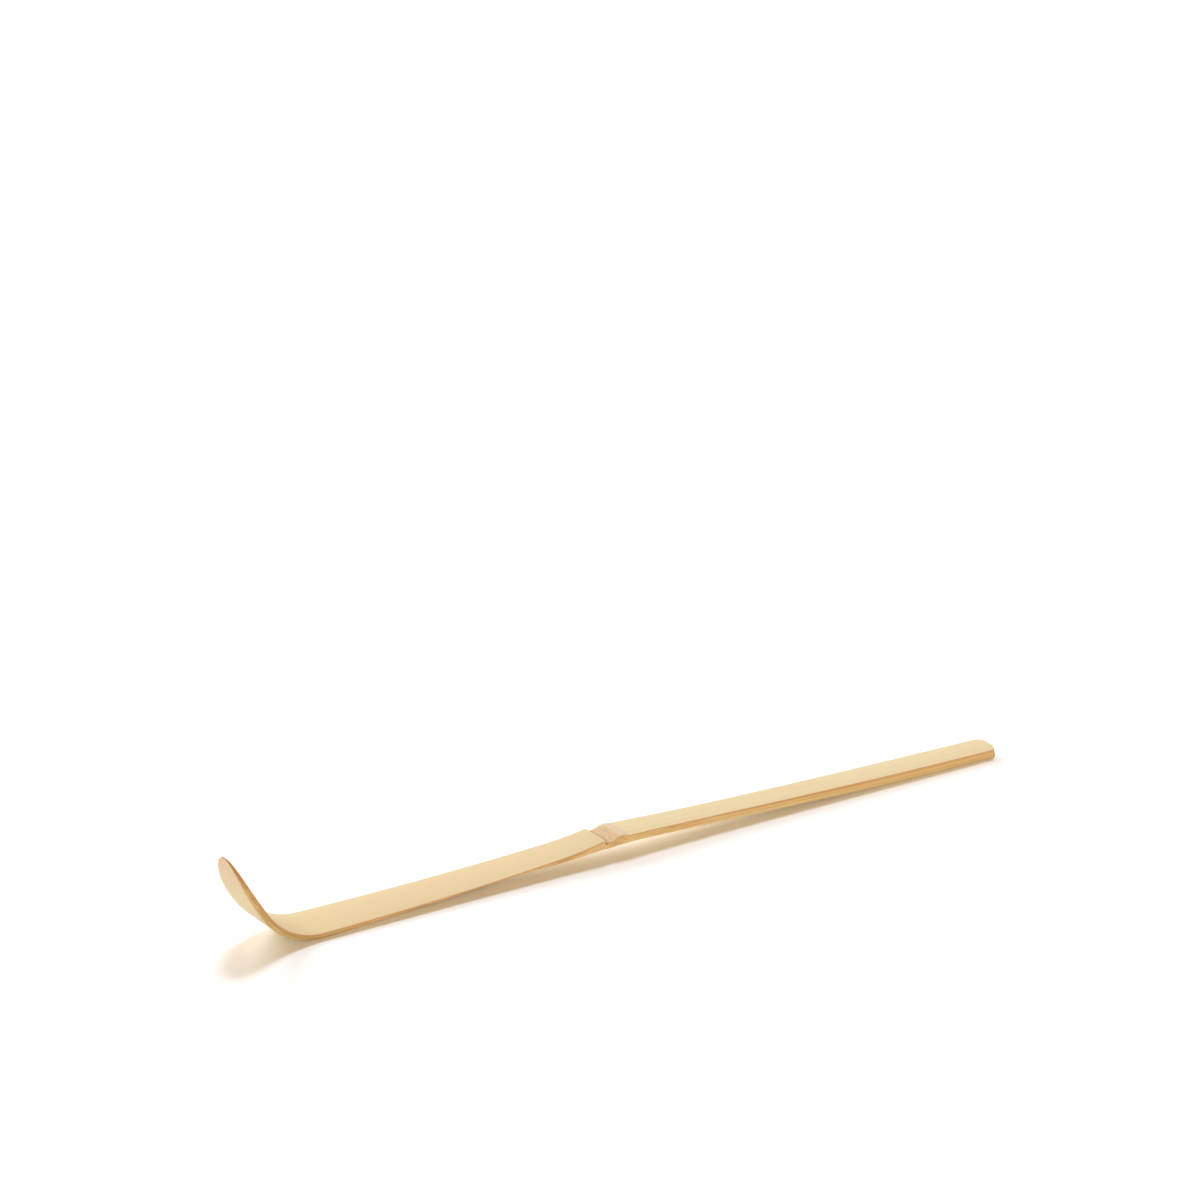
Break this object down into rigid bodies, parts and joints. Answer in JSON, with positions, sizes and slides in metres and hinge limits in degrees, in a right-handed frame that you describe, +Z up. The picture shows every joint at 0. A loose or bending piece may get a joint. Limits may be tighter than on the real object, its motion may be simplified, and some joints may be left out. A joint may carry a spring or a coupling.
{
  "type": "tea scoop",
  "caption": "Slim bamboo tea scoop: a split strip, skin side up, with a nodal ridge near its middle and a steam-bent tip forming a small rounded bowl for lifting powdered tea.",
  "frame": {"origin": "on the table under the middle of the scoop: bottom centre of its bounding box as it lies, bowl up", "axes": "+X along the strip from the bowl's tip to the handle end, +Y across the strip, +Z up from the table, out of the skin side"},
  "size_m": [0.18, 0.012, 0.019],
  "materials": {
    "bamboo_skin": "satin, pale cream bamboo rind with fine lengthwise grain",
    "bamboo_wall": "matt, golden brown fibres running lengthwise",
    "sheath_scar": "matt, brown scar of the fallen sheath",
    "node_band": "satin, pinkish tan nodal rind",
    "node_core": "matt, rough tangled golden fibres"
  },
  "bodies": {
    "root": {"scoop_skin": "bamboo_skin", "scoop_wall": "bamboo_wall", "sheath_scar": "sheath_scar", "node_band": "node_band", "node_core": "node_core", "handle_skin": "bamboo_skin", "handle_wall": "bamboo_wall"}
  },
  "joints": []
}
